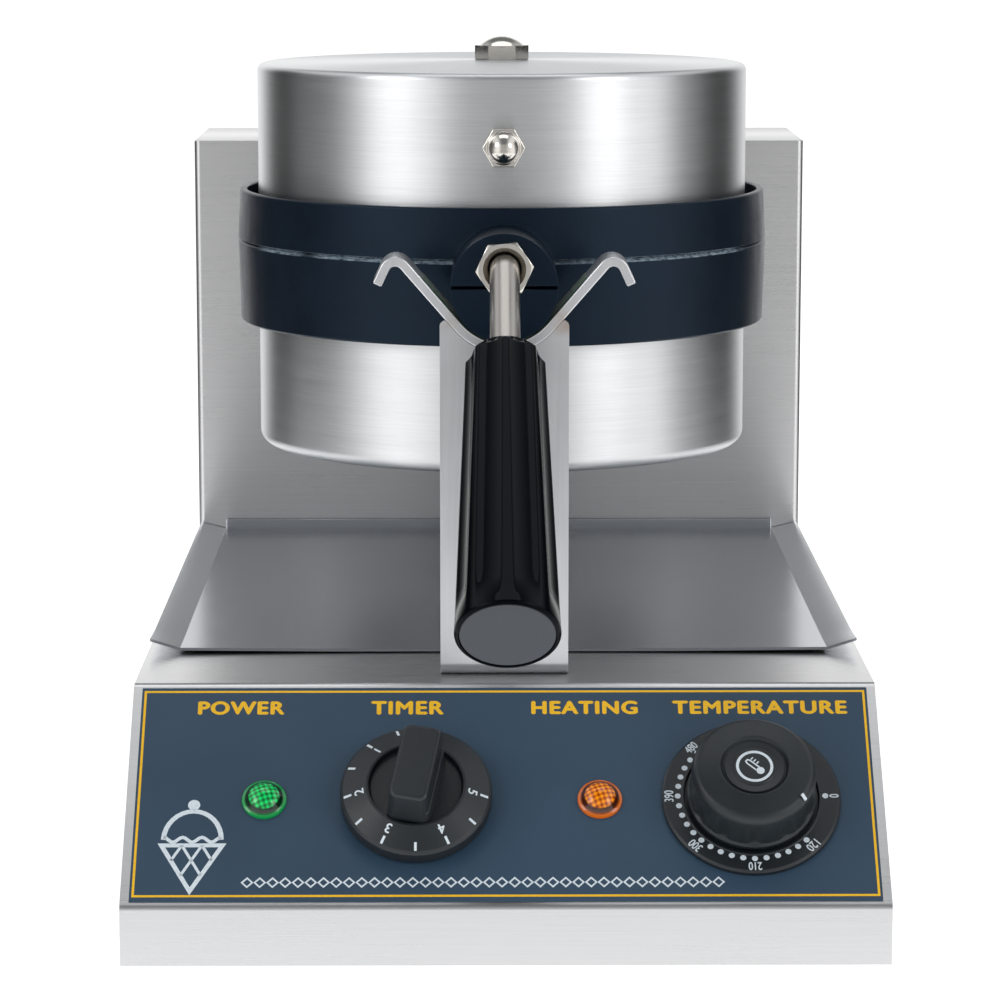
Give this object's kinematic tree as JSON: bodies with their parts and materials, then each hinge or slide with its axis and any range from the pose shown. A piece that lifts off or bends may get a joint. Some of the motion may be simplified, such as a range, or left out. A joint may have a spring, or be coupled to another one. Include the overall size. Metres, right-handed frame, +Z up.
{
  "type": "waffle cone maker",
  "caption": "Rotating waffle cone maker: sloped control base, rear column, drip tray, and a round two-part baking head on a turning shaft with a front cradle and fluted handle.",
  "frame": {"origin": "centre of the bounding box in X and Y, on the surface that the rubber feet stand on", "axes": "+X to the machine's own right-hand side as seen from the front, +Y from the control panel to the column, +Z up"},
  "size_m": [0.25, 0.5214, 0.2949],
  "materials": {
    "casing_steel": "horizontally brushed stainless sheet",
    "shell_steel": "spun and brushed stainless",
    "tray_steel": "bright cold-rolled stainless",
    "cradle_steel": "satin stainless",
    "liner_green": "woven glass and PTFE strip",
    "overlay_film": "printed slate-blue polyester overlay",
    "ring_black": "blue-black semi-gloss phenolic moulding",
    "grip_black": "glossy black phenolic",
    "grip_end_grey": "matt dark grey",
    "knob_black": "satin black moulding",
    "knob_rubber": "soft-touch black",
    "feet_rubber": "black rubber",
    "lens_green": "green prismatic lens",
    "lens_amber": "amber prismatic lens",
    "inner_ivory": "ivory moulding",
    "thermostat_steel": "plain plated steel",
    "plate_aluminium": "cast aluminium, seasoned dark",
    "heater_steel": "dark oxidised sheath",
    "insulation_wool": "mineral wool",
    "bulb_copper": "copper",
    "bush_bronze": "sintered bronze",
    "cast_grey": "grey cast metal",
    "shaft_steel": "turned steel",
    "rod_steel": "satin stainless rod",
    "bright_hardware": "bright nickel plate"
  },
  "bodies": {
    "base": {"base_shell": "casing_steel", "bottom_plate": "casing_steel", "rubber_feet": "feet_rubber", "foot_screws": "bright_hardware", "control_overlay": "overlay_film", "power_lamp_lens": "lens_green", "power_lamp_body": "inner_ivory", "heating_lamp_lens": "lens_amber", "heating_lamp_body": "inner_ivory", "timer_mechanism": "inner_ivory", "temperature_ring": "knob_black", "thermostat_body": "thermostat_steel", "terminal_block": "inner_ivory", "cable_gland": "knob_black", "cradle_bracket": "cradle_steel", "cradle_strap": "cradle_steel", "cradle_liner": "liner_green", "bracket_screws": "bright_hardware", "column_shell": "casing_steel", "column_back_cover": "casing_steel", "back_cover_screws": "bright_hardware", "bearing_housing": "cast_grey", "bearing_bush": "bush_bronze", "bearing_screws": "bright_hardware"},
    "tray": {"drip_tray": "tray_steel"},
    "timer": {"timer_knob": "knob_black", "timer_shaft": "shaft_steel"},
    "thermostat": {"temperature_knob": "knob_rubber", "temperature_knob_cap": "knob_black", "thermostat_shaft": "shaft_steel"},
    "lower_head": {"pivot_shaft": "shaft_steel", "shaft_collar": "shaft_steel", "hinge_yoke": "cast_grey", "yoke_screws": "bright_hardware", "hinge_pin": "shaft_steel", "lower_shell": "shell_steel", "lower_ring": "ring_black", "lower_plate": "plate_aluminium", "lower_heater": "heater_steel", "lower_reflector": "thermostat_steel", "lower_insulation": "insulation_wool", "lower_stud": "shaft_steel", "lower_cap_nut": "bright_hardware", "lower_acorn_nut": "bright_hardware", "thermostat_bulb": "bulb_copper"},
    "upper_head": {"upper_shell": "shell_steel", "upper_ring": "ring_black", "upper_plate": "plate_aluminium", "upper_heater": "heater_steel", "upper_reflector": "thermostat_steel", "upper_insulation": "insulation_wool", "upper_stud": "shaft_steel", "upper_cap_nut": "bright_hardware", "upper_acorn_nut": "bright_hardware", "hinge_leaf": "cast_grey", "handle_rod": "rod_steel", "handle_nut": "bright_hardware", "handle_grip": "grip_black", "grip_end_cap": "grip_end_grey"}
  },
  "joints": [
    {"name": "head_flip", "type": "hinge", "parent": "base", "child": "lower_head", "pos_m": [0, 0.13723, 0.216], "axis": [0, -1, 0], "range_deg": [-180, 0]},
    {"name": "head_open", "type": "hinge", "parent": "lower_head", "child": "upper_head", "pos_m": [0, 0.11323, 0.2246], "axis": [-1, 0, 0], "range_deg": [0, 80]},
    {"name": "timer_turn", "type": "hinge", "parent": "base", "child": "timer", "pos_m": [-0.0294, -0.17059, 0.05126], "axis": [0, -0.6771, 0.7359], "range_deg": [-273, 0]},
    {"name": "temperature_turn", "type": "hinge", "parent": "base", "child": "thermostat", "pos_m": [0.081, -0.17059, 0.05126], "axis": [0, -0.6771, 0.7359], "range_deg": [-185, 40]},
    {"name": "tray_slide", "type": "slide", "parent": "base", "child": "tray", "axis": [1, 0, 0], "range_m": [0, 0.26]}
  ]
}
